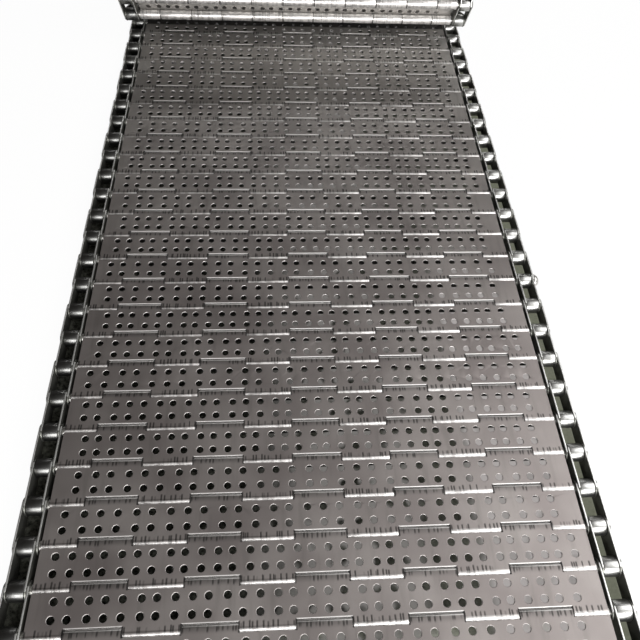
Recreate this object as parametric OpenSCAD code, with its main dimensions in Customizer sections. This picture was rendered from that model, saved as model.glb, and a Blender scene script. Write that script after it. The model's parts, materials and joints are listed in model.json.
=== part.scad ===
// Hinged steel conveyor belt, one end rolled up.
// Perforated slats hinge on full-width rods through curled knuckles, piano-hinge fashion.
// A roller chain runs down each side: inner rows carry bushes and rollers between inner link
// plates, outer rows carry the rods, riveted into outer link plates.
// Origin: centre of the open joining bore at the near end. X across the belt, Y along the run,
// Z up. The sprocket side is down; the rolled end curls back over the run.

/* [Belt] */
// Distance from one hinge pin to the next
pitch = 50.8; // [45:0.1:64]
// Width of a slat
slat_w = 690; // [460:5:1000]
// Rows in the flat run
flat_rows = 26; // [24:2:26]
// Rows in the rolled end
rolled_rows = 9; // [8:1:9]
// Bend at the first rolled hinge, in degrees
first_bend = 29; // [27:0.5:31]
// Extra bend at each hinge after it, in degrees
bend_step = 2.2; // [2:0.1:2.4]

/* [Slats] */
// Thickness of the slat sheet
sheet_t = 1.5; // [1:0.25:2]
// Full-width knuckles across a hinge
full_knuckles = 9; // [5:2:11]
// Width of the two end knuckles, as a share of a full one
end_share = 0.65; // [0.5:0.05:1]
// Gap between knuckles of neighbouring slats
tab_gap = 0.8; // [0.4:0.1:1.5]
// Gap between a knuckle and the sheet edge it turns past
notch_gap = 0.4; // [0.3:0.1:0.8]
// Diameter of the punched holes
hole_d = 9.5; // [5:0.5:12]
// Spacing of the punched holes along a row
hole_pitch = 20.8; // [16:0.1:26]
// Share by which that spacing differs from slat to slat
spacing_spread = 0.07; // [0:0.01:0.1]
// Distance between the two rows of holes
row_gap = 19.8; // [16:0.1:22]
// Plain margin from the slat's end to the first hole
hole_margin = 20; // [15:1:60]
// How far the punch wanders along the slat
punch_wander = 1.3; // [0:0.1:2]

/* [Rods] */
// Diameter of the hinge rods
rod_d = 15; // [10:0.5:16]
// Clearance round a rod in its knuckles and bushes
rod_gap = 0.5; // [0.35:0.05:0.8]
// Diameter of a riveted rod head
head_d = 19; // [17:0.5:22]
// Height of a riveted rod head
head_h = 2.5; // [1.5:0.1:4]
// Hinge that has a joining rod with a cap nut
joining_hinge = 11; // [9:2:21]
// Diameter of the cap nut
cap_d = 23; // [18:1:25]
// Height of the cap nut
cap_h = 11; // [9.5:0.5:14]
// Length of rod that the cap nut takes
cap_grip = 6; // [4:0.5:7]

/* [Chain] */
// Thickness of a link plate
plate_t = 2.25; // [1.75:0.25:4]
// Height of an inner link plate
inner_plate_h = 26; // [24:0.5:30]
// Height of an outer link plate
outer_plate_h = 23; // [18:0.5:28]
// Gap between an inner and an outer plate
plate_gap = 0.4; // [0.3:0.1:1]
// Gap between a slat's end and an outer plate
slat_gap = 3.5; // [1:0.25:5]
// Outside diameter of a bush
bush_d = 18.5; // [17:0.5:20]
// Fit of a bush or rod pressed into a plate
press_gap = 0.03; // [0.02:0.01:0.05]
// Outside diameter of a roller
roller_d = 25.4; // [20:0.2:26]
// Length of a roller
roller_w = 20; // [12:0.2:25]
// Clearance of a roller round its bush
roller_gap = 0.4; // [0.35:0.05:0.6]
// Clearance at each end of a roller
side_play = 0.4; // [0.3:0.05:0.8]
// Chamfer on the rollers' rims
roller_edge = 1; // [0.5:0.1:2]

/* [Hidden] */
rows = flat_rows + rolled_rows;
// The first rows have a node for each kind of piece, the rest one node a row
split_rows = 6;
bore_d = rod_d + 2 * rod_gap;
curl_d = bore_d + 2 * sheet_t;
segments = full_knuckles + 2;
knuckle_w = slat_w / (full_knuckles + 2 * end_share);
// From a pin to the sheet edge that turns past the neighbouring slat's knuckles
notch = sqrt(pow(curl_d / 2 + notch_gap, 2) - pow(bore_d / 2, 2));
end_w = end_share * knuckle_w;
// Distances from the belt's middle out through one chain
outer_plate_in = slat_w / 2 + slat_gap;
inner_plate_in = outer_plate_in + plate_t + plate_gap;
roller_in = inner_plate_in + plate_t;
inner_plate_out = roller_in + roller_w + 2 * side_play;
outer_plate_out = inner_plate_out + plate_t + plate_gap;
rod_end = outer_plate_out + plate_t;
bush_len = inner_plate_out + plate_t - inner_plate_in;
// Where the curl starts and ends, as angles from the sheet's direction round the rod
curl_end = asin(bore_d / curl_d) - 4;
curl_start = 88;
$fn = 48;
hole_fn = 24;

// Direction of each row and place of each pin, one after the other
bend = [for (k = [0 : rows]) k <= flat_rows ? 0 : first_bend + bend_step * (k - flat_rows - 1)];
function heading(k) = k == 0 ? 0 : heading(k - 1) + bend[k];
function pin_at(h) =
    h == 0 ? [0, 0] : pin_at(h - 1) + pitch * [cos(heading(h)), sin(heading(h))];

function is_inner(k) = k % 2 == 1;
function row_name(k) = str(is_inner(k) ? "inner_row_" : "outer_row_", k);

// Puts a row, modelled from its near pin along Y, where its near pin is
module place_row(k) {
    near_pin = pin_at(k - 1);
    translate([0, near_pin.x, near_pin.y]) rotate([heading(k), 0, 0]) children();
}

// Puts a piece modelled along X from the origin on the left or right side
module on_side(side) {
    mirror([side < 0 ? 1 : 0, 0, 0]) children();
}

// Extrudes a side view, drawn as along-the-run by height, across the belt
module across(from, length) {
    translate([from, 0, 0]) rotate([90, 0, 90]) linear_extrude(length) children();
}

// Slats

// Edges of one knuckle segment, with half the gap off each side that meets a neighbour
function tab_from(s) =
    s == 0 ? -slat_w / 2 : -slat_w / 2 + end_w + (s - 1) * knuckle_w + tab_gap / 2;
function tab_to(s) =
    s == segments - 1 ? slat_w / 2 : -slat_w / 2 + end_w + s * knuckle_w - tab_gap / 2;

// Flat outline: a strip with tabs to the near pin and, between them, tabs to the far pin
module sheet_outline() {
    translate([-slat_w / 2, notch]) square([slat_w, pitch - 2 * notch]);
    for (s = [0 : segments - 1]) {
        near_tab = s % 2 == 0;
        translate([tab_from(s), near_tab ? 0 : pitch - notch - sheet_t])
            square([tab_to(s) - tab_from(s), notch + sheet_t]);
    }
}

// Two rows of holes, a little unevenly spaced, with the start and spacing different on each slat
module punched_holes(k) {
    start = hole_margin + hole_pitch * (1 + sin(83 * k)) / 4;
    spacing = hole_pitch * (1 + spacing_spread * sin(101 * k));
    count = floor((slat_w - start - hole_margin) / spacing) + 1;
    for (n = [0 : count - 1], side = [-1, 1])
        translate([
            -slat_w / 2 + start + n * spacing + punch_wander * sin(137 * n + 71 * k),
            pitch / 2 + side * row_gap / 2
        ])
            circle(d = hole_d, $fn = hole_fn);
}

// Side view of a curl round the rod, its seam tucked under the sheet
module curl_profile() {
    difference() {
        circle(d = curl_d);
        circle(d = bore_d);
        polygon([
            [0, 0],
            curl_d * [cos(curl_end), sin(curl_end)],
            curl_d * [cos(curl_start), sin(curl_start)]
        ]);
    }
}

module slat_sheet(k) {
    translate([0, 0, bore_d / 2]) linear_extrude(sheet_t) difference() {
        sheet_outline();
        punched_holes(k);
    }
}

module slat_body(k) {
    slat_sheet(k);
    for (s = [0 : segments - 1]) {
        near_tab = s % 2 == 0;
        across(tab_from(s), tab_to(s) - tab_from(s))
            translate([near_tab ? 0 : pitch, 0])
                mirror([near_tab ? 0 : 1, 0])
                    curl_profile();
    }
}

module slat(k) {
    color("#8d8885") place_row(k) slat_body(k);
}

// Link plates

// Side view of a straight-sided link plate with a hole at each pin
module link_profile(height, hole) {
    difference() {
        union() {
            translate([0, -height / 2]) square([pitch, height]);
            for (y = [0, pitch]) translate([y, 0]) circle(d = height);
        }
        for (y = [0, pitch]) translate([y, 0]) circle(d = hole);
    }
}

module link_plates(inboard, outboard, height, hole) {
    for (side = [-1, 1], x = [inboard, outboard])
        on_side(side) across(x, plate_t) link_profile(height, hole);
}

module inner_plates(k) {
    color("#6f716c") place_row(k)
        link_plates(inner_plate_in, inner_plate_out, inner_plate_h, bush_d + 2 * press_gap);
}

module outer_plates(k) {
    color("#7b7c77") place_row(k)
        link_plates(outer_plate_in, outer_plate_out, outer_plate_h, rod_d + 2 * press_gap);
}

// Bushes and rollers

// A tube along X with chamfered outer rims
module tube(from, length, outside, inside, edge) {
    translate([from, 0, 0]) rotate([90, 0, 90]) rotate_extrude() polygon([
        [inside / 2, 0], [outside / 2 - edge, 0], [outside / 2, edge],
        [outside / 2, length - edge], [outside / 2 - edge, length], [inside / 2, length]
    ]);
}

module bushes(k) {
    bush_edge = 0.5;
    color("#9a9a96") place_row(k)
        for (side = [-1, 1], y = [0, pitch])
            on_side(side) translate([0, y, 0])
                tube(inner_plate_in, bush_len, bush_d, bore_d, bush_edge);
}

// The roller on one side at hinge h, which turns on a bush of inner row k
module roller(k, h, side) {
    color("#c4c4c0") place_row(k)
        translate([0, (h - k + 1) * pitch, 0]) on_side(side)
            tube(roller_in + side_play, roller_w, roller_d, bush_d + 2 * roller_gap, roller_edge);
}

module row_rollers(k) {
    for (h = [k - 1, k], side = [-1, 1]) roller(k, h, side);
}

// Rods

// A domed head on the origin's +X side: a slice of the ball that its width and height give
module dome(width, height) {
    ball_r = (width * width / 4 + height * height) / (2 * height);
    rotate([0, 90, 0]) intersection() {
        translate([0, 0, height - ball_r]) sphere(ball_r);
        cylinder(d = 2 * width, h = height);
    }
}

// A rod with its left end riveted and its right end riveted or left plain for the cap nut
module cross_rod(capped) {
    head_at = rod_end + press_gap;
    right_end = head_at + (capped ? cap_grip : 0);
    rotate([0, 90, 0]) translate([0, 0, -head_at]) cylinder(d = rod_d, h = head_at + right_end);
    on_side(-1) translate([head_at, 0, 0]) dome(head_d, head_h);
    if (!capped) translate([head_at, 0, 0]) dome(head_d, head_h);
}

module cross_rods(k) {
    color("#a8a8a4") place_row(k)
        for (h = [k - 1, k])
            translate([0, (h - k + 1) * pitch, 0]) cross_rod(h == joining_hinge);
}

// Domed nut that closes the joining rod, on the outer row whose near pin it holds
module cap_nut() {
    base_h = 3;
    color("#b4b4b0") place_row(joining_hinge + 1) translate([rod_end + press_gap, 0, 0]) difference() {
        union() {
            rotate([0, 90, 0]) cylinder(d = cap_d, h = base_h);
            translate([base_h, 0, 0]) dome(cap_d, cap_h - base_h);
        }
        translate([-1, 0, 0]) rotate([0, 90, 0])
            cylinder(d = rod_d + 2 * press_gap, h = cap_grip + 1.5);
    }
}

// Whole rows, for the rows past the split ones

module inner_row(k) {
    slat(k);
    inner_plates(k);
    bushes(k);
    row_rollers(k);
}

module outer_row(k) {
    slat(k);
    outer_plates(k);
    cross_rods(k);
}

for (k = [1 : split_rows]) {
    slat(k);
}
for (k = [1 : 2 : split_rows]) {
    inner_plates(k);
    bushes(k);
    for (h = [k - 1, k]) {
        roller(k, h, -1);
        roller(k, h, 1);
    }
}
for (k = [2 : 2 : split_rows]) {
    outer_plates(k);
    cross_rods(k);
}
for (k = [split_rows + 1 : 2 : rows]) {
    inner_row(k);
}
for (k = [split_rows + 2 : 2 : rows]) {
    outer_row(k);
}
cap_nut();
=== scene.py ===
import json
import math
import bpy
import bmesh
from mathutils import Matrix, Vector


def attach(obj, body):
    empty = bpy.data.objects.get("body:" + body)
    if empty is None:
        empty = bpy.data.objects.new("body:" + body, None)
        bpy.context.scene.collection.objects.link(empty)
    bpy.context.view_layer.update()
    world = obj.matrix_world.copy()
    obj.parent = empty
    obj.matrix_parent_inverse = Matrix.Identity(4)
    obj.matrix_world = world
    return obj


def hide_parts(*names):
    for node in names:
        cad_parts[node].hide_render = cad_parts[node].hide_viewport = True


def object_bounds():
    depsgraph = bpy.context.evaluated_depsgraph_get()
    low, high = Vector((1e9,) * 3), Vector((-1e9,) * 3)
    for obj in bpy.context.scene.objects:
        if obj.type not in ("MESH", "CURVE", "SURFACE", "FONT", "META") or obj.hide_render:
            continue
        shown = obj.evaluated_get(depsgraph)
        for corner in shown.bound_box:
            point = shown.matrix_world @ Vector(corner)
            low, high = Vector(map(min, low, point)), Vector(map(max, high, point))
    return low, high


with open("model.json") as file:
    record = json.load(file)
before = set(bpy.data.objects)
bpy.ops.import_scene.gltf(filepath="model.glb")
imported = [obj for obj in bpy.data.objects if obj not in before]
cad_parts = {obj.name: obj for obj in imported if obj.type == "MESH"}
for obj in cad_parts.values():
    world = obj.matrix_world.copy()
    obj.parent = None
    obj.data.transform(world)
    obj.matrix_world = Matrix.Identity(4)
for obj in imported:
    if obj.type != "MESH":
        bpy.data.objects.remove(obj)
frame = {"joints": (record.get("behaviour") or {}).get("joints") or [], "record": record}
cad_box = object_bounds()

# Camera and room
# The belt lies on a pale floor, dusty grey with painted shade where it covers it. A wide soft
# lamp stands low in front, a square one hangs high on the right, and a strip lamp far behind the
# roll gives the rolled edges a second, thinner highlight.
BELT_MIDDLE = Vector((0, 0.7, 0))
CAMERA_RIGHT = Vector((0.99778, -0.04716, 0.04704))
CAMERA_UP = Vector((0.01321, 0.83231, 0.55416))

bpy.context.scene.view_settings.view_transform = "Standard"

bpy.ops.object.camera_add(location=(-0.0470, -0.0407, 0.7909))
camera = bpy.context.object
camera.rotation_euler = Matrix(
    (CAMERA_RIGHT, CAMERA_UP, CAMERA_RIGHT.cross(CAMERA_UP))
).transposed().to_euler()
camera.data.lens = 33.63
camera.data.sensor_width = 36
camera.data.clip_start = 0.01
bpy.context.scene.camera = camera


def hang_lamp(name, place, size, power):
    """A rectangular soft lamp that points at the middle of the belt."""
    bpy.ops.object.light_add(type="AREA", location=place)
    lamp = bpy.context.object
    lamp.name = name
    lamp.data.shape = "RECTANGLE"
    lamp.data.size, lamp.data.size_y = size
    lamp.data.energy = power
    lamp.rotation_euler = (BELT_MIDDLE - Vector(place)).to_track_quat("-Z", "Y").to_euler()


hang_lamp("front_lamp", (0.35, -1.45, 0.95), (3.6, 0.95), 106)
hang_lamp("side_lamp", (1.6, 0.55, 1.5), (1.7, 1.7), 29.5)
hang_lamp("back_lamp", (0.45, 3.6, 1.55), (3.7, 0.14), 14.5)


class Wire:
    """One output of a material's nodes. Sums on it add Math nodes, and node() adds any other."""

    def __init__(self, tree, socket=None):
        self.tree = tree
        self.socket = socket

    def node(self, kind, settings, values, out=0):
        made = self.tree.nodes.new("ShaderNode" + kind)
        for name, setting in settings.items():
            setattr(made, name, setting)
        for name, value in values.items():
            if isinstance(value, Wire):
                self.tree.links.new(value.socket, made.inputs[name])
            else:
                made.inputs[name].default_value = value
        return Wire(self.tree, made.outputs[out])

    def maths(self, operation, first, second):
        return self.node("Math", {"operation": operation}, {0: first, 1: second})

    def __add__(self, other):
        return self.maths("ADD", self, other)

    def __sub__(self, other):
        return self.maths("SUBTRACT", self, other)

    def __rsub__(self, other):
        return self.maths("SUBTRACT", other, self)

    def __mul__(self, other):
        return self.maths("MULTIPLY", self, other)

    def __abs__(self):
        return self.node("Math", {"operation": "ABSOLUTE"}, {0: self})

    __radd__ = __add__
    __rmul__ = __mul__

    def part(self, axis):
        """One coordinate of a vector."""
        return self.node("SeparateXYZ", {}, {"Vector": self}, out=axis)

    def ramp(self, low, high):
        """0 below low, 1 above high and smooth between."""
        return self.node("MapRange", {"interpolation_type": "SMOOTHSTEP"},
                         {"Value": self, "From Min": low, "From Max": high})


def new_finish(name):
    """A material with only a Principled shader, its node and a Wire to build on."""
    material = bpy.data.materials.new(name)
    material.use_nodes = True
    tree = material.node_tree
    return material, tree.nodes["Principled BSDF"], Wire(tree)


def blend(wire, share, low, high):
    """A colour that goes from low to high as share goes from 0 to 1."""
    return wire.node("Mix", {"data_type": "RGBA"}, {0: share, 6: low, 7: high}, out=2)


def cloud(wire, place, size, detail=2.0, roughness=0.5):
    """Soft noise, 0 to 1, with patches of about this size in metres."""
    return wire.node("TexNoise", {}, {
        "Vector": place, "Scale": 1 / size, "Detail": detail, "Roughness": roughness
    })


# Floor
# Plain and pale, at the height the belt rests on. Under the belt it is dusty with painted shade,
# and what shows through the holes and beside the rollers is dark on the left and glows with
# painted light towards the right.
FLOOR_SIZE = 40
SLAT_SIDE = 0.345
EDGE_IN = 0.005
FLOOR_WHITE = (0.86, 0.86, 0.85, 1)
SHADED_DUST, LIT_DUST = (0.006, 0.006, 0.005, 1), (0.42, 0.43, 0.36, 1)
GLOW_LEFT, GLOW_RIGHT = (0.22, 0.21, 0.20, 1), (0.40, 0.375, 0.365, 1)
MOSS_DARK, MOSS_PALE = (0.10, 0.105, 0.075, 1), (0.24, 0.25, 0.19, 1)
WHITE = (1, 1, 1, 1)

bpy.ops.mesh.primitive_plane_add(size=FLOOR_SIZE, location=(0, 0, cad_box[0][2]))
floor = bpy.context.object
floor.name = "floor"
floor_paint, shader, wire = new_finish("floor_paint")
place = wire.node("TexCoord", {}, {}, out="Object")
sideways = place.part("X")
lengthways = place.part("Y")
half_width = cad_box[1][0] - EDGE_IN
middle_y = (cad_box[0][1] + cad_box[1][1]) / 2
half_length = cad_box[1][1] - middle_y - EDGE_IN
off_centre = abs(sideways)
off_middle = abs(lengthways - middle_y)

# Gritty dust under the belt, with painted shade: near black on the left, paler to the right.
bare = wire.maths("MAXIMUM", off_centre.ramp(half_width - 0.001, half_width + 0.001),
                  off_middle.ramp(half_length - 0.001, half_length + 0.001))
grit = cloud(wire, place, 0.006, 4.0, 0.7).ramp(0.3, 0.7)
dust_and_shade = blend(wire, grit * 0.3 + sideways.ramp(-0.2, 0.36) * 0.7, SHADED_DUST, LIT_DUST)
paint = blend(wire, bare, dust_and_shade, FLOOR_WHITE)
wire.tree.links.new(paint.socket, shader.inputs["Base Color"])
shader.inputs["Roughness"].default_value = 0.9
shader.inputs["Specular IOR Level"].default_value = 0.05

# Painted light: through the holes the floor glows for the camera in patches down the middle and
# all over near the right edge, and beside the right chain.
under_slats = 1 - off_centre.ramp(SLAT_SIDE - 0.001, SLAT_SIDE + 0.001)
beside = off_centre.ramp(SLAT_SIDE + 0.003, SLAT_SIDE + 0.005)
patches = cloud(wire, place, 0.035, 2.0).ramp(0.40, 0.52)
to_right = sideways.ramp(0.195, 0.225) * (1 - lengthways.ramp(0.5, 0.8))
mid_lane = sideways.ramp(-0.10, 0.02) * (1 - sideways.ramp(0.11, 0.15)) * patches * 0.8
moss = blend(wire, cloud(wire, place, 0.004, 3.0, 0.7), MOSS_DARK, MOSS_PALE)
glow_tint = blend(wire, to_right, GLOW_LEFT, GLOW_RIGHT)
glow_tint = blend(wire, beside, glow_tint, moss)
glow_tint = blend(wire, bare, glow_tint, WHITE)
painted_glow = wire.node("Emission", {}, {"Color": glow_tint})
glow_share = under_slats * (mid_lane + to_right * (0.75 + patches * 0.25))
glow_share += beside * sideways.ramp(0, 0.1) * 0.8
share = bare * 0.96 + (1 - bare) * glow_share
seen = wire.node("LightPath", {}, {}, out="Is Camera Ray")
lit = wire.node("MixShader", {}, {
    0: share * seen, 1: Wire(wire.tree, shader.outputs[0]), 2: painted_glow
})
wire.tree.links.new(lit.socket, wire.tree.nodes["Material Output"].inputs["Surface"])
floor.data.materials.append(floor_paint)

# Out of the lamps' light the room is dim, and brightest overhead to the right.
DIM, OVERHEAD = (0.06, 0.056, 0.052, 1), (0.42, 0.407, 0.4, 1)
TO_BRIGHTEST = (0.70, -0.30, 0.65)

world = bpy.data.worlds.new("room")
bpy.context.scene.world = world
world.use_nodes = True
sky = Wire(world.node_tree)
seen = sky.node("LightPath", {}, {}, out="Is Camera Ray")
direction = sky.node("TexCoord", {}, {}, out="Generated")
towards = sky.node("VectorMath", {"operation": "DOT_PRODUCT"},
                   {0: direction, 1: TO_BRIGHTEST}, out="Value")
room = blend(sky, towards.ramp(0.4, 1.0), DIM, OVERHEAD)
backdrop = world.node_tree.nodes["Background"]
world.node_tree.links.new(blend(sky, seen, room, WHITE).socket, backdrop.inputs["Color"])

# The belt's layout
# Every hinge pin runs straight across the belt. Rows are numbered from the near, flat end,
# and each is made lying along Y from its near pin at the origin, then put in its place.
HINGES = [joint for joint in frame["joints"] if joint["name"].startswith("hinge_")]
MOUNTS = {mount["name"]: mount for mount in frame["record"]["mounts"]}
PINS = [Vector(MOUNTS["near_joining_bore"]["pos_m"])]
PINS += [Vector(joint["pos_m"]) for joint in HINGES]
PINS += [Vector(MOUNTS["far_joining_bore"]["pos_m"])]
ROWS = range(1, len(PINS))
SPLIT_ROWS = 6
PITCH = (PINS[1] - PINS[0]).length
ROW_SHIFT = 0.37
CLOSED_TO = 1e-5


def is_inner(row):
    return row % 2 == 1


def cad_node(row, split_name):
    """The CAD node that holds this kind of piece in this row."""
    if row <= SPLIT_ROWS:
        return f"{split_name}_{row}"
    return f"inner_row_{row}" if is_inner(row) else f"outer_row_{row}"


def mark_lay(piece, row, height=1.0):
    """Keeps each point's place on the flat row, for finishes that follow the row as it turns.

    Heights are kept as a share of this height, and each row is shifted along the pattern."""
    mesh = piece.data
    lay = mesh.attributes.new("lay", "FLOAT_VECTOR", "POINT")
    for vertex, value in zip(mesh.vertices, lay.data):
        value.vector = (vertex.co.x + row * ROW_SHIFT, vertex.co.y, vertex.co.z / height)


def put_in_row(piece, row):
    """Moves a piece modelled on the flat row to where the row lies."""
    along = PINS[row] - PINS[row - 1]
    turn = math.atan2(along.z, along.y)
    piece.data.transform(Matrix.Translation(PINS[row - 1]) @ Matrix.Rotation(turn, 4, "X"))


def deselect():
    bpy.ops.object.select_all(action="DESELECT")


def choose(piece):
    deselect()
    piece.select_set(True)
    bpy.context.view_layer.objects.active = piece


def edit(piece, pick=None, kind="FACE"):
    """Opens a piece in edit mode with the faces, edges or vertices that pick says selected."""
    choose(piece)
    bpy.ops.object.mode_set(mode="EDIT")
    bpy.ops.mesh.select_mode(type=kind)
    bpy.ops.mesh.select_all(action="DESELECT")
    cage = bmesh.from_edit_mesh(piece.data)
    parts = {"FACE": cage.faces, "EDGE": cage.edges, "VERT": cage.verts}[kind]
    for part in parts:
        part.select_set(pick is None or pick(part))
    cage.select_flush_mode()
    bmesh.update_edit_mesh(piece.data)


def close_edit():
    bpy.ops.object.mode_set(mode="OBJECT")


def finish_with(piece, kind, **settings):
    """Adds a modifier and applies it."""
    choose(piece)
    modifier = piece.modifiers.new(kind.lower(), kind)
    for name, value in settings.items():
        setattr(modifier, name, value)
    bpy.ops.object.modifier_apply(modifier=modifier.name)


def copy_of(piece, name):
    twin = piece.copy()
    twin.data = piece.data.copy()
    twin.name = twin.data.name = name
    bpy.context.scene.collection.objects.link(twin)
    return twin


def join(pieces, name):
    deselect()
    for piece in pieces:
        piece.select_set(True)
    bpy.context.view_layer.objects.active = pieces[0]
    bpy.ops.object.join()
    whole = bpy.context.object
    whole.name = whole.data.name = name
    return whole


def settle(piece):
    """Puts the object's own place into its mesh."""
    choose(piece)
    bpy.ops.object.transform_apply(location=True, rotation=True, scale=True)


def smooth(piece, degrees=35):
    choose(piece)
    bpy.ops.object.shade_smooth_by_angle(angle=math.radians(degrees))


def even_shading(piece, axis):
    """Lets the flat faces square to an axis keep their direction where they meet rounded ones."""
    mesh = piece.data
    facing = {}
    for face in mesh.polygons:
        if abs(face.normal[axis]) > 0.9999:
            for vertex in face.vertices:
                facing.setdefault(vertex, []).append(face.normal.copy())
    normals = [(0, 0, 0)] * len(mesh.loops)
    for face in mesh.polygons:
        for loop in face.loop_indices:
            for normal in facing.get(mesh.loops[loop].vertex_index, []):
                if normal.dot(face.normal) > 0.8:
                    normals[loop] = normal
    mesh.normals_split_custom_set(normals)


# Slats
# Each slat is one piece of steel sheet, punched with two rows of holes. Its tabs are rolled
# round the hinge rods: short ones at both ends of the near edge, full ones between.
SLAT_W = 0.690
SHEET_T = 0.0015
FULL_KNUCKLES = 9
END_SHARE = 0.65
TAB_GAP = 0.0008
BORE_R = 0.008
CURL_R = BORE_R + SHEET_T
CURL_CLEARANCE = 0.0004
NOTCH = math.sqrt((CURL_R + CURL_CLEARANCE) ** 2 - BORE_R ** 2)
TURN_TO_LEVEL = math.radians(266)
CURL_TURN = TURN_TO_LEVEL + math.asin(BORE_R / CURL_R)
CURL_STEPS = 26
HOLE_D = 0.0095
HOLE_PITCH = 0.0208
SPACING_SPREAD = 0.07
ROW_GAP = 0.0198
HOLE_MARGIN = 0.020
RIM_R = 0.0008
PUNCH_WANDER = 0.0013
START_STEP, SPACING_STEP, HOLE_STEP, ROW_STEP = 83, 101, 137, 71
FLARE = ((0.0004, 0.0001), (0.0003, 0.0004), (0.0001, RIM_R), (0.001, RIM_R))
SHEET_EDGE = 0.00035
KNUCKLE_W = SLAT_W / (FULL_KNUCKLES + 2 * END_SHARE)
LAST_SEGMENT = FULL_KNUCKLES + 1


def tab_sides(segment):
    """Where this segment of the hinge line starts and ends across the belt."""
    start = -SLAT_W / 2 + END_SHARE * KNUCKLE_W + (segment - 1) * KNUCKLE_W
    low = start + TAB_GAP / 2 if segment > 0 else -SLAT_W / 2
    high = start + KNUCKLE_W - TAB_GAP / 2 if segment < LAST_SEGMENT else SLAT_W / 2
    return low, high


def in_tab(face, parity, y):
    """True for the sheet's cut edge at y, where it starts a tab of this parity."""
    middle = face.calc_center_median()
    if abs(middle.y - y) > CLOSED_TO or abs(face.normal.y) < 0.9:
        return False
    for segment in range(parity, LAST_SEGMENT + 1, 2):
        low, high = tab_sides(segment)
        if low < middle.x < high:
            return True
    return False


def roll_tabs(blank, parity, edge, pin_y):
    """Extrudes the tabs out over the pin and rolls them round it."""
    edit(blank, lambda face: in_tab(face, parity, edge))
    reach = pin_y - edge
    bpy.ops.mesh.extrude_region_move(TRANSFORM_OT_translate={"value": (0, reach, 0)})
    bpy.ops.mesh.spin(steps=CURL_STEPS, angle=-CURL_TURN if reach < 0 else CURL_TURN,
                      center=(0, pin_y, 0), axis=(1, 0, 0))
    close_edit()


bpy.ops.mesh.primitive_cube_add(size=1, location=(0, PITCH / 2, BORE_R + SHEET_T / 2),
                                scale=(SLAT_W, PITCH - 2 * NOTCH, SHEET_T))
blank = bpy.context.object
settle(blank)
edit(blank)
for segment in range(LAST_SEGMENT + 1):
    for cut in tab_sides(segment):
        if abs(cut) < SLAT_W / 2 - CLOSED_TO:
            bpy.ops.mesh.select_all(action="SELECT")
            bpy.ops.mesh.bisect(plane_co=(cut, 0, 0), plane_no=(1, 0, 0))
close_edit()
roll_tabs(blank, 0, NOTCH, 0)
roll_tabs(blank, 1, PITCH - NOTCH, PITCH)
edit(blank)
bpy.ops.mesh.normals_make_consistent(inside=False)
close_edit()


def punch_for(row):
    """The tool that punches one slat: a shank for each hole, flared to draw in the top rim."""
    turn = math.radians(row)
    start = HOLE_MARGIN + HOLE_PITCH * (1 + math.sin(START_STEP * turn)) / 4
    spacing = HOLE_PITCH * (1 + SPACING_SPREAD * math.sin(SPACING_STEP * turn))
    count = math.floor((SLAT_W - start - HOLE_MARGIN) / spacing) + 1
    rim_z = CURL_R - RIM_R
    bpy.ops.mesh.primitive_cylinder_add(vertices=20, radius=HOLE_D / 2, depth=3 * SHEET_T,
                                        location=(0, 0, rim_z - 1.5 * SHEET_T))
    punch = bpy.context.object
    settle(punch)
    edit(punch, lambda face: face.normal.z > 0.9)
    for rise, flare in FLARE:
        top = [vertex for vertex in bmesh.from_edit_mesh(punch.data).verts if vertex.select]
        grow = (HOLE_D / 2 + flare) / top[0].co.xy.length
        bpy.ops.mesh.extrude_region_move(TRANSFORM_OT_translate={"value": (0, 0, rise)})
        bpy.ops.transform.resize(value=(grow, grow, 1))
    close_edit()
    punch.data.transform(Matrix.Translation((-SLAT_W / 2 + start, PITCH / 2 - ROW_GAP / 2, 0)))
    each = len(punch.data.vertices)
    finish_with(punch, "ARRAY", count=count, use_relative_offset=False,
                use_constant_offset=True, constant_offset_displace=(spacing, 0, 0))
    for vertex in punch.data.vertices:
        hole = vertex.index // each
        phase = math.radians(HOLE_STEP * hole + ROW_STEP * row)
        vertex.co.x += PUNCH_WANDER * math.sin(phase)
    finish_with(punch, "ARRAY", count=2, use_relative_offset=False,
                use_constant_offset=True, constant_offset_displace=(0, ROW_GAP, 0))
    return punch


# Dull rolled steel with a warm grey cast, cooler and duller towards the far end. It has soft
# clouds, fine speckle and rolling streaks, and is worn bright on the curls, partly with painted
# highlight, with short dark marks beside them where the press held the sheet. Painted highlight
# and painted shade also lie on the hole rims and walls, the bends, and under the roll.
NEAR_DARK, FAR_DARK = (0.238, 0.212, 0.204, 1), (0.216, 0.203, 0.191, 1)
NEAR_LIGHT, FAR_LIGHT = (0.316, 0.290, 0.277, 1), (0.289, 0.273, 0.255, 1)
PALE_STEEL = (0.52, 0.50, 0.475, 1)
SPECK, STREAK = (0.16, 0.15, 0.145, 1), (0.15, 0.142, 0.13, 1)
BEND_SHADE_GREY = (0.10, 0.095, 0.09, 1)
MARK_DARK = (0.05, 0.047, 0.045, 1)
RIM_HIGHLIGHT, WALL_SHADE = (0.9, 0.88, 0.86, 1), (0.02, 0.02, 0.019, 1)
WORN_AND_LIT_BRIGHT = (0.95, 0.93, 0.91, 1)
BELOW_BELT_SHADE = (0.04, 0.038, 0.036, 1)
SEAM_AND_SHADE_DARK = (0.03, 0.028, 0.027, 1)
SHADE = (0.01, 0.01, 0.01, 1)
MARK_SPACING = 0.0048
TAB_START = END_SHARE * KNUCKLE_W - SLAT_W / 2
TAB_SIDE = 0.0004
ROLL_TOUCHES = 1.3

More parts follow.
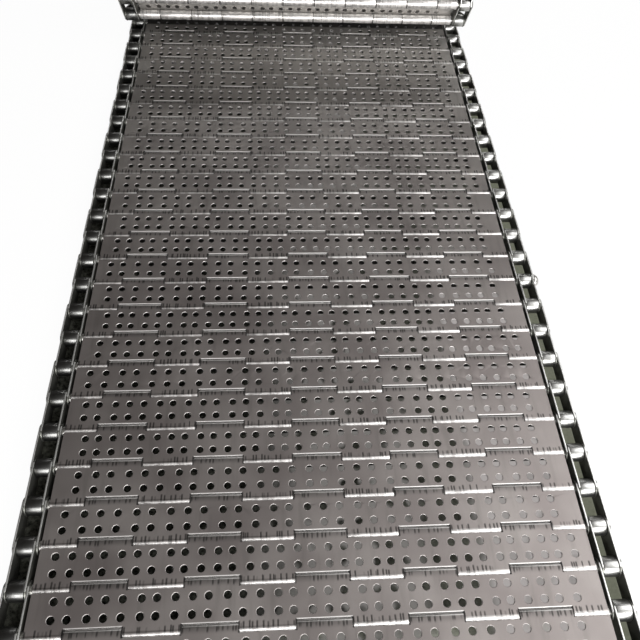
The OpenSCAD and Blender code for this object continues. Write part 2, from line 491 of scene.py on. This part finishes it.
slat_steel, shader, wire = new_finish("slat_steel")
place = wire.node("TexCoord", {}, {}, out="Object")
sideways, lengthways, upwards = place.part("X"), place.part("Y"), place.part("Z")
lay = wire.node("Attribute", {"attribute_name": "lay"}, {}, out="Vector")
across, along, height = lay.part("X"), lay.part("Y"), lay.part("Z")
to_far = PITCH - along
rightwards = sideways.ramp(-0.25, 0.25)
far_end = lengthways.ramp(0.4, 1.2)
clouds = cloud(wire, place, 0.11, 3.0)
speckle = cloud(wire, lay, 0.0016, 3.0, 0.6)
grain = wire.node("CombineXYZ", {}, {"X": across, "Y": along * 0.12})
streaks = cloud(wire, grain, 0.011, 3.0)

# Which tabs a point is on or beside: far ones curl round the far pin, the rest round the near.
from_tab = sideways - TAB_START
to_side = wire.maths("PINGPONG", from_tab, KNUCKLE_W / 2)
from_far_tab = wire.maths("PINGPONG", from_tab - KNUCKLE_W / 2, KNUCKLE_W)
far_tabs = 1 - from_far_tab.ramp(KNUCKLE_W / 2 - TAB_SIDE, KNUCKLE_W / 2 + TAB_SIDE)
on_tab = 1 - along.ramp(NOTCH, NOTCH + 0.0006) * to_far.ramp(NOTCH, NOTCH + 0.0006)
upper = height.ramp(0.005, 0.0065)

# The press's marks, one for each spot along the hinge and some left out.
one_row = {"voronoi_dimensions": "1D"}
spots = {"W": across, "Scale": 1 / MARK_SPACING, "Randomness": 1.0}
to_mark = wire.node("TexVoronoi", one_row, spots)
chance = wire.node("TexVoronoi", one_row, spots, out="Color")
ticks = (1 - to_mark.ramp(0.13, 0.34)) * chance.ramp(0.2, 0.6)
mark_end = chance * 0.005 + 0.001
near_marks = ticks * (1 - (along - mark_end).ramp(0, 0.0025))
far_marks = ticks * (1 - (to_far - mark_end).ramp(-0.003, 0.001))
marks = near_marks * (1 - far_tabs) + far_marks * far_tabs

# Dark seams round the tabs, painted shade in the crease where each far curl turns down, and
# painted shade on the bend beside it.
outline = on_tab * (1 - (to_side - far_end * 0.0005).ramp(0.0007, 0.0014))
crease = far_tabs * upper * (1 - to_far.ramp(-0.0036, -0.0022))
seams_and_crease_shade = wire.maths("MAXIMUM", outline, crease)
bend_shade = far_tabs * (1 - to_far.ramp(-0.002, 0.007)) * (0.7 - rightwards * 0.25)

# Painted highlight on the holes' rims and painted shade on their walls.
rolled = 1 - along.ramp(-0.0004, 0.0012) * height.ramp(BORE_R - 0.001, BORE_R - 0.0004)
rims = (1 - rolled) * (1 - height.ramp(CURL_R - 0.0005, CURL_R - 0.00012))
field = along.ramp(0.008, 0.009) * to_far.ramp(0.008, 0.009)
underside = 1 - height.ramp(BORE_R + 0.0001, BORE_R + 0.0003)
walls = field * (1 - underside) * (1 - height.ramp(CURL_R - 0.0009, CURL_R - 0.0006))

# Curls worn bright, partly with painted highlight that grows to the right, and a painted
# highlight on the notch's cut edge. Nothing rubs below the belt, and there the curls' lower
# halves get painted shade.
above_floor = upwards.ramp(0.011, 0.014)
below_belt = (1 - upper) * (1 - above_floor)
beads = cloud(wire, lay, 0.007, 2.0).ramp(0.35, 0.6)
wear_and_highlight = rolled * (0.45 + beads * 0.4 + rightwards * 0.15) * (1 - far_end * 0.5)
wear_and_highlight *= 1 - below_belt * 0.9
crown = (along - rightwards * 0.0016).ramp(-0.0052, -0.0004)
wear_and_highlight *= wire.maths("MAXIMUM", 1 - upper, 1 - crown)
cut_edge_highlight = far_tabs * upper * (1 - along.ramp(NOTCH + 0.0004, NOTCH + 0.0014))
cut_edge_highlight *= (0.5 + rightwards * 0.4) * (1 - far_end * 0.5)
wear_and_highlight = wire.maths("MAXIMUM", wear_and_highlight, cut_edge_highlight)
# Painted shadow on the flat run just under the roll.
under_roll = lengthways.ramp(ROLL_TOUCHES - 0.003, ROLL_TOUCHES + 0.003) * (1 - above_floor)
# Paler towards the roll, and more so to the right.
paler_far = lengthways.ramp(0.95, 1.25) * (0.3 + rightwards * 0.3)

dark = blend(wire, far_end, NEAR_DARK, FAR_DARK)
light = blend(wire, far_end, NEAR_LIGHT, FAR_LIGHT)
steel = blend(wire, clouds.ramp(0.3, 0.7), dark, light)
steel = blend(wire, paler_far, steel, PALE_STEEL)
steel = blend(wire, speckle.ramp(0.55, 0.8) * 0.25, steel, SPECK)
steel = blend(wire, streaks.ramp(0.5, 0.75) * 0.28, steel, STREAK)
steel = blend(wire, bend_shade, steel, BEND_SHADE_GREY)
steel = blend(wire, marks * 0.85, steel, MARK_DARK)
steel = blend(wire, rims * (0.9 - far_end * 0.65), steel, RIM_HIGHLIGHT)
steel = blend(wire, walls * (0.75 + far_end * 0.2), steel, WALL_SHADE)
steel = blend(wire, wear_and_highlight, steel, WORN_AND_LIT_BRIGHT)
steel = blend(wire, below_belt * 0.65, steel, BELOW_BELT_SHADE)
steel = blend(wire, seams_and_crease_shade * 0.85, steel, SEAM_AND_SHADE_DARK)
steel = blend(wire, under_roll * 0.85, steel, SHADE)
wire.tree.links.new(steel.socket, shader.inputs["Base Color"])
wire.tree.links.new((0.44 + clouds * 0.14 - rolled * 0.16).socket, shader.inputs["Roughness"])
wire.tree.links.new((0.94 - wear_and_highlight * 0.7).socket, shader.inputs["Metallic"])
dents = wire.node("Bump", {}, {
    "Strength": 0.5, "Distance": 0.0004, "Height": clouds * 0.6 + speckle * 0.1 - marks * 0.5
})
wire.tree.links.new(dents.socket, shader.inputs["Normal"])

for row in ROWS:
    slat = copy_of(blank, f"punched_slat_{row}")
    punch = punch_for(row)
    finish_with(slat, "BOOLEAN", operation="DIFFERENCE", solver="MANIFOLD", object=punch)
    bpy.data.objects.remove(punch)
    finish_with(slat, "BEVEL", width=SHEET_EDGE, segments=2, limit_method="ANGLE",
                angle_limit=math.radians(50))
    smooth(slat)
    even_shading(slat, 2)
    mark_lay(slat, row)
    put_in_row(slat, row)
    slat.data.materials.clear()
    slat.data.materials.append(slat_steel)
    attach(slat, f"row_{row}")
    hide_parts(cad_node(row, "slat"))
bpy.data.objects.remove(blank)

# Link plates
# Straight-sided steel bars with round ends, blanked from plate and drilled at both pins.
# Inner plates sit next to the rollers, outer plates outside them on every second row.
PLATE_T = 0.00225
PLATE_GAP = 0.0004
PLATE_EDGE = 0.0004
INNER_H = 0.026
OUTER_H = 0.023
BUSH_R = 0.00925
ROD_R = 0.0075
PRESS_GAP = 0.00003
SLAT_GAP = 0.0035
OUTER_IN = SLAT_W / 2 + SLAT_GAP
INNER_IN = OUTER_IN + PLATE_T + PLATE_GAP
ROLLER_IN = INNER_IN + PLATE_T
ROLLER_W = 0.020
SIDE_PLAY = 0.0004
INNER_OUT = ROLLER_IN + ROLLER_W + 2 * SIDE_PLAY
OUTER_OUT = INNER_OUT + PLATE_T + PLATE_GAP


def turn_across(piece):
    """Turns a round primitive so that it lies across the belt."""
    piece.rotation_euler = (0, math.pi / 2, 0)
    settle(piece)


def make_plate(name, height, hole_r):
    """A link plate in the plane X = 0, from its near pin at the origin."""
    bpy.ops.mesh.primitive_cylinder_add(vertices=48, radius=height / 2, depth=PLATE_T,
                                        location=(0, 0, 0))
    plate = bpy.context.object
    plate.name = name
    turn_across(plate)
    edit(plate, lambda vertex: vertex.co.y > CLOSED_TO, "VERT")
    bpy.ops.transform.translate(value=(0, PITCH, 0))
    close_edit()
    for pin_y in (0, PITCH):
        bpy.ops.mesh.primitive_cylinder_add(vertices=32, radius=hole_r, depth=2 * PLATE_T,
                                            location=(0, pin_y, 0))
        drill = bpy.context.object
        turn_across(drill)
        finish_with(plate, "BOOLEAN", operation="DIFFERENCE", solver="EXACT", object=drill)
        bpy.data.objects.remove(drill)
    finish_with(plate, "BEVEL", width=PLATE_EDGE, segments=2, limit_method="ANGLE",
                angle_limit=math.radians(50))
    smooth(plate)
    even_shading(plate, 0)
    return plate


inner_plate = make_plate("inner_plate", INNER_H, BUSH_R + PRESS_GAP)
outer_plate = make_plate("outer_plate", OUTER_H, ROD_R + PRESS_GAP)

# Oily grey plate, with a painted highlight along its long edges.
OILY, OILY_DARK = (0.19, 0.19, 0.172, 1), (0.09, 0.09, 0.082, 1)
EDGE_HIGHLIGHT = (0.75, 0.75, 0.73, 1)

plate_steel, shader, wire = new_finish("plate_steel")
place = wire.node("TexCoord", {}, {}, out="Object")
grime = cloud(wire, place, 0.03, 4.0, 0.6)
grain = cloud(wire, place, 0.0014, 3.0, 0.6)
lay = wire.node("Attribute", {"attribute_name": "lay"}, {}, out="Vector")
edges = abs(lay.part("Z")).ramp(0.955, 0.975)
steel = blend(wire, grime.ramp(0.35, 0.7), OILY, OILY_DARK)
steel = blend(wire, edges * (0.5 + grain * 0.6), steel, EDGE_HIGHLIGHT)
wire.tree.links.new(steel.socket, shader.inputs["Base Color"])
wire.tree.links.new((0.34 + grime * 0.2).socket, shader.inputs["Roughness"])
shader.inputs["Metallic"].default_value = 0.9
pits = wire.node("Bump", {}, {"Strength": 0.4, "Distance": 0.0003, "Height": grain + grime * 2})
wire.tree.links.new(pits.socket, shader.inputs["Normal"])


def set_of(pattern, spots, name):
    """Copies of a piece at these places, joined into one."""
    copies = []
    for number, spot in enumerate(spots):
        twin = copy_of(pattern, f"{name}_{number}")
        twin.data.transform(Matrix.Translation(spot))
        copies.append(twin)
    return join(copies, name)


for row in ROWS:
    pattern = inner_plate if is_inner(row) else outer_plate
    inboard, outboard = (INNER_IN, INNER_OUT) if is_inner(row) else (OUTER_IN, OUTER_OUT)
    spots = [Vector((side * (x + PLATE_T / 2), 0, 0))
             for side in (-1, 1) for x in (inboard, outboard)]
    kind = "inner_plates" if is_inner(row) else "outer_plates"
    plates = set_of(pattern, spots, f"link_{kind}_{row}")
    mark_lay(plates, row, INNER_H / 2 if is_inner(row) else OUTER_H / 2)
    put_in_row(plates, row)
    plates.data.materials.clear()
    plates.data.materials.append(plate_steel)
    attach(plates, f"row_{row}")
    if row <= SPLIT_ROWS:
        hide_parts(f"{kind}_{row}")
bpy.data.objects.remove(inner_plate)
bpy.data.objects.remove(outer_plate)

# Bushes and rollers
# Turned from bar: a plain tube pressed into each pair of inner plates, and a roller that
# runs on it, with the sharp rims taken off.
ROLLER_R = 0.0127
ROLLER_GAP = 0.0004
ROLLER_EDGE = 0.001
TURNED_EDGE = 0.0005
BUSH_HALF = (INNER_OUT + PLATE_T - INNER_IN) / 2
CHAIN_X = ROLLER_IN + SIDE_PLAY + ROLLER_W / 2


def turned(name, low, high, bore_r, outside_r, edge, steps):
    """A tube across the belt, turned from a flat section whose outer corners are cut off."""
    bpy.ops.mesh.primitive_plane_add(
        size=1, location=((low + high) / 2, (bore_r + outside_r) / 2, 0))
    tube = bpy.context.object
    tube.name = name
    tube.scale = (high - low, outside_r - bore_r, 1)
    settle(tube)
    edit(tube, lambda vertex: vertex.co.y > (bore_r + outside_r) / 2, "VERT")
    bpy.ops.mesh.bevel(offset=edge, offset_type="OFFSET", segments=2, profile=0.5,
                       affect="VERTICES")
    bpy.ops.mesh.select_all(action="SELECT")
    bpy.ops.mesh.spin(steps=steps, angle=2 * math.pi, center=(0, 0, 0), axis=(1, 0, 0))
    bpy.ops.mesh.select_all(action="SELECT")
    bpy.ops.mesh.remove_doubles(threshold=1e-6)
    bpy.ops.mesh.delete_loose()
    bpy.ops.mesh.normals_make_consistent(inside=False)
    close_edit()
    smooth(tube, 30)
    return tube


roller = turned("roller", -ROLLER_W / 2, ROLLER_W / 2, BUSH_R + ROLLER_GAP, ROLLER_R,
                ROLLER_EDGE, 48)
bush = turned("bush", -BUSH_HALF, BUSH_HALF, BORE_R, BUSH_R, TURNED_EDGE, 40)

# Bright turned steel with oil smears and fine tool lines, with painted shade darkening it towards
# the left chain.
TURNED, SMEARED = (0.46, 0.46, 0.445, 1), (0.24, 0.24, 0.23, 1)
TURNED_SHADED = (0.07, 0.07, 0.068, 1)

roller_steel, shader, wire = new_finish("roller_steel")
place = wire.node("TexCoord", {}, {}, out="Object")
sideways = place.part("X")
smear = cloud(wire, place, 0.012, 4.0, 0.6)
steel = blend(wire, smear.ramp(0.4, 0.75), TURNED, SMEARED)
leftwards = 1 - sideways.ramp(-0.3, 0.3)
steel = blend(wire, leftwards * 0.75, steel, TURNED_SHADED)
wire.tree.links.new(steel.socket, shader.inputs["Base Color"])
wire.tree.links.new((0.25 + smear * 0.14).socket, shader.inputs["Roughness"])
shader.inputs["Metallic"].default_value = 1.0
tool_lines = cloud(wire, wire.node("CombineXYZ", {}, {"X": sideways}), 0.0006)
scores = wire.node("Bump", {}, {"Strength": 0.2, "Distance": 0.0002, "Height": tool_lines})
wire.tree.links.new(scores.socket, shader.inputs["Normal"])

for row in ROWS:
    if not is_inner(row):
        continue
    spots = [Vector((side * CHAIN_X, y, 0)) for side in (-1, 1) for y in (0, PITCH)]
    bushes = set_of(bush, spots, f"chain_bushes_{row}")
    put_in_row(bushes, row)
    bushes.data.materials.append(roller_steel)
    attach(bushes, f"row_{row}")
    if row <= SPLIT_ROWS:
        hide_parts(f"bushes_{row}")
        for side, word in ((-1, "left"), (1, "right")):
            for hinge in (row - 1, row):
                one = set_of(roller, [Vector((side * CHAIN_X, (hinge - row + 1) * PITCH, 0))],
                             f"chain_roller_{word}_{hinge}")
                put_in_row(one, row)
                one.data.materials.append(roller_steel)
                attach(one, f"{word}_roller_{hinge}")
                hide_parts(f"{word}_roller_{hinge}")
    else:
        rollers = set_of(roller, spots, f"chain_rollers_{row}")
        put_in_row(rollers, row)
        rollers.data.materials.append(roller_steel)
        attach(rollers, f"row_{row}")
bpy.data.objects.remove(roller)
bpy.data.objects.remove(bush)

# Cross rods and cap nut
# Bright drawn bar, full width, with both ends riveted over the outer plates. The joining rod
# has a domed nut on its right end in place of a rivet.
ROD_END = OUTER_OUT + PLATE_T + PRESS_GAP
HEAD_R = 0.0095
HEAD_H = 0.0025
JOINING_HINGE = 11
CAP_GRIP = 0.006
CAP_R = 0.0115
CAP_H = 0.011
CAP_BASE = 0.003


def dome(name, radius, height, x):
    """A ball's cap with its flat side at x, facing +X."""
    ball_r = (radius ** 2 + height ** 2) / (2 * height)
    bpy.ops.mesh.primitive_uv_sphere_add(segments=32, ring_count=48, radius=ball_r)
    cap = bpy.context.object
    cap.name = name
    turn_across(cap)
    edit(cap)
    bpy.ops.mesh.bisect(plane_co=(ball_r - height, 0, 0), plane_no=(1, 0, 0),
                        clear_inner=True, use_fill=True)
    bpy.ops.mesh.select_all(action="SELECT")
    bpy.ops.mesh.normals_make_consistent(inside=False)
    close_edit()
    cap.data.transform(Matrix.Translation((x - ball_r + height, 0, 0)))
    smooth(cap)
    return cap


def make_rod(name, capped):
    """A full-width rod, with a plain right end for the nut where it is capped."""
    right = ROD_END + (CAP_GRIP if capped else 0)
    bpy.ops.mesh.primitive_cylinder_add(vertices=32, radius=ROD_R, depth=ROD_END + right)
    bar = bpy.context.object
    turn_across(bar)
    bar.data.transform(Matrix.Translation(((right - ROD_END) / 2, 0, 0)))
    smooth(bar)
    left = dome("head", HEAD_R, HEAD_H, ROD_END)
    left.data.transform(Matrix.Rotation(math.pi, 4, "Z"))
    ends = [left] if capped else [left, dome("head", HEAD_R, HEAD_H, ROD_END)]
    return join([bar] + ends, name)


plain_rod = make_rod("plain_rod", False)
joining_rod = make_rod("joining_rod", True)

DRAWN, DRAWN_SMEARED = (0.52, 0.51, 0.49, 1), (0.30, 0.29, 0.28, 1)

rod_steel, shader, wire = new_finish("rod_steel")
place = wire.node("TexCoord", {}, {}, out="Object")
smear = cloud(wire, place, 0.02, 4.0, 0.6)
steel = blend(wire, smear.ramp(0.4, 0.75), DRAWN, DRAWN_SMEARED)
wire.tree.links.new(steel.socket, shader.inputs["Base Color"])
wire.tree.links.new((0.24 + smear * 0.18).socket, shader.inputs["Roughness"])
shader.inputs["Metallic"].default_value = 1.0

for row in ROWS:
    if is_inner(row):
        continue
    both = []
    for hinge in (row - 1, row):
        pattern = joining_rod if hinge == JOINING_HINGE else plain_rod
        rod = copy_of(pattern, f"rod_{hinge}")
        rod.data.transform(Matrix.Translation((0, (hinge - row + 1) * PITCH, 0)))
        both.append(rod)
    rods = join(both, f"hinge_rods_{row}")
    put_in_row(rods, row)
    rods.data.materials.append(rod_steel)
    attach(rods, f"row_{row}")
    if row <= SPLIT_ROWS:
        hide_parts(f"cross_rods_{row}")
bpy.data.objects.remove(plain_rod)
bpy.data.objects.remove(joining_rod)

base = turned("cap_base", ROD_END, ROD_END + CAP_BASE, ROD_R + PRESS_GAP, CAP_R,
              TURNED_EDGE, 48)
crown = dome("crown", CAP_R - TURNED_EDGE, CAP_H - CAP_BASE, ROD_END + CAP_BASE)
nut = join([base, crown], "domed_nut")
put_in_row(nut, JOINING_HINGE + 1)
nut.data.materials.append(rod_steel)
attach(nut, f"row_{JOINING_HINGE + 1}")
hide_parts("cap_nut")
